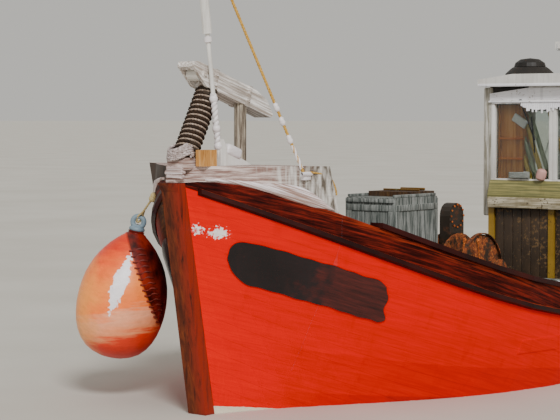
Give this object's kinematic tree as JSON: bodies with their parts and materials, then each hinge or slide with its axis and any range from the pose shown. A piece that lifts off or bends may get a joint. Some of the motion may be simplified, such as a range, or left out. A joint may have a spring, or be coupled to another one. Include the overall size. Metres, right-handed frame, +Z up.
{
  "type": "fishing trawler",
  "caption": "Wooden inshore trawler with a flared red hull, raised fore deck, slanted anchor beam, trawl winch, aft wheelhouse, derrick mast, net drum and stern gantry; floats on water.",
  "frame": {"origin": "on the waterline, in the centre plane, half way along the hull", "axes": "+X to port, +Y aft, +Z up; the bow points along -Y"},
  "size_m": [3.766, 10.427, 7.2],
  "materials": {
    "red_paint": "thick gloss paint on planking, chalked and rust streaked",
    "dark_paint": "dark maroon paint, worn along the edges",
    "oak": "weathered oak",
    "pale_paint": "pale flat paint, scuffed",
    "grey_paint": "blue grey paint",
    "deck_paint": "gritty deck paint",
    "white_paint": "white paint with rust runs",
    "varnished_wood": "old varnish",
    "rusty_steel": "rusty painted steel",
    "galvanised_steel": "dull galvanised steel",
    "bronze": "cast bronze",
    "window_glass": "clear, salt hazed",
    "fender_plastic": "inflated plastic, satin",
    "rope": "laid rope",
    "olive_paint": "chalky olive paint, worn",
    "ochre_paint": "ochre graining over wood",
    "net": "wound trawl netting",
    "engine_paint": "green engine enamel"
  },
  "bodies": {
    "boat": {"hull": "red_paint", "backbone": "oak", "engine": "engine_paint", "bulwark_port": "red_paint", "bulwark_starboard": "red_paint", "bulwark_stern": "red_paint", "deck": "deck_paint", "cap_rail_port": "dark_paint", "cap_rail_starboard": "dark_paint", "rub_rail_port": "dark_paint", "rub_rail_starboard": "dark_paint", "foredeck_cap": "pale_paint", "anchor_beam": "pale_paint", "anchor_post_fore": "oak", "anchor_post_aft": "grey_paint", "bow_chock": "varnished_wood", "bow_staff": "white_paint", "bow_stay": "rope", "fender": "fender_plastic", "fender_lanyard": "rope", "companion": "grey_paint", "winch_frame": "rusty_steel", "hatch_coaming": "oak", "wheelhouse_front": "white_paint", "pane_front_1": "window_glass", "pane_front_2": "window_glass", "wheelhouse_back": "white_paint", "pane_back": "window_glass", "wheelhouse_port": "white_paint", "pane_port": "window_glass", "wheelhouse_starboard": "white_paint", "pane_starboard_1": "window_glass", "pane_starboard_2": "window_glass", "wheelhouse_roof": "white_paint", "wheelhouse_sill": "olive_paint", "wheelhouse_stiles": "ochre_paint", "helm_console": "varnished_wood", "mast": "varnished_wood", "mast_stays": "galvanised_steel", "exhaust_stack": "rusty_steel", "liferaft": "white_paint", "radar_pedestal": "white_paint", "roof_vent": "dark_paint", "stern_gantry": "galvanised_steel", "otter_board_port": "varnished_wood", "otter_board_starboard": "varnished_wood", "net_drum_frame": "rusty_steel"},
    "propeller": {"propeller": "bronze"},
    "rudder": {"rudder": "oak"},
    "helm_wheel": {"helm_wheel": "varnished_wood"},
    "companion_slide": {"companion_slide": "oak"},
    "winch_drums": {"winch_drums": "rusty_steel"},
    "hatch_cover": {"hatch_cover": "grey_paint"},
    "wheelhouse_door": {"wheelhouse_door": "varnished_wood"},
    "gooseneck": {"gooseneck": "rusty_steel"},
    "boom": {"boom": "varnished_wood"},
    "radar_scanner": {"radar_scanner": "white_paint"},
    "anchor_roller": {"anchor_roller": "bronze"},
    "net_drum": {"net_drum": "galvanised_steel", "net_wound": "net"}
  },
  "joints": [
    {"name": "propeller_spin", "type": "hinge", "parent": "boat", "child": "propeller", "pos_m": [0, 3.95, -0.62], "axis": [0, 1, 0], "continuous": true},
    {"name": "rudder_turn", "type": "hinge", "parent": "boat", "child": "rudder", "pos_m": [0, 4.33, -0.6], "axis": [0, 0, 1], "range_deg": [-35, 35]},
    {"name": "helm_turn", "type": "hinge", "parent": "boat", "child": "helm_wheel", "pos_m": [0, 2.035, 1.33], "axis": [0, 1, 0], "range_deg": [-350, 350]},
    {"name": "companion_lid_slide", "type": "slide", "parent": "boat", "child": "companion_slide", "axis": [0, -1, 0], "range_m": [0, 0.42]},
    {"name": "winch_spin", "type": "hinge", "parent": "boat", "child": "winch_drums", "pos_m": [0, -0.63, 1.01], "axis": [1, 0, 0], "continuous": true},
    {"name": "hatch_lift", "type": "hinge", "parent": "boat", "child": "hatch_cover", "pos_m": [0, 0.27, 0.751], "axis": [1, 0, 0], "range_deg": [0, 92]},
    {"name": "door_swing", "type": "hinge", "parent": "boat", "child": "wheelhouse_door", "pos_m": [0.866, 2.416, 1.405], "axis": [0, 0, -1], "range_deg": [0, 150]},
    {"name": "boom_slew", "type": "hinge", "parent": "boat", "child": "gooseneck", "pos_m": [0, 3.62, 3.46], "axis": [0, 0, 1], "range_deg": [-70, 70]},
    {"name": "boom_topping", "type": "hinge", "parent": "gooseneck", "child": "boom", "pos_m": [0, 3.725, 3.46], "axis": [1, 0, 0], "range_deg": [-25, 35]},
    {"name": "radar_spin", "type": "hinge", "parent": "boat", "child": "radar_scanner", "pos_m": [0.33, 1.91, 3.4], "axis": [0, 0, 1], "continuous": true},
    {"name": "roller_spin", "type": "hinge", "parent": "boat", "child": "anchor_roller", "pos_m": [0.06, -4.7671, 2.9712], "axis": [1, 0, 0], "continuous": true},
    {"name": "net_drum_spin", "type": "hinge", "parent": "boat", "child": "net_drum", "pos_m": [0, 4.11, 1.08], "axis": [1, 0, 0], "continuous": true}
  ],
  "couplings": [
    {"joint": "helm_turn", "follows": "rudder_turn", "ratio": 10}
  ]
}
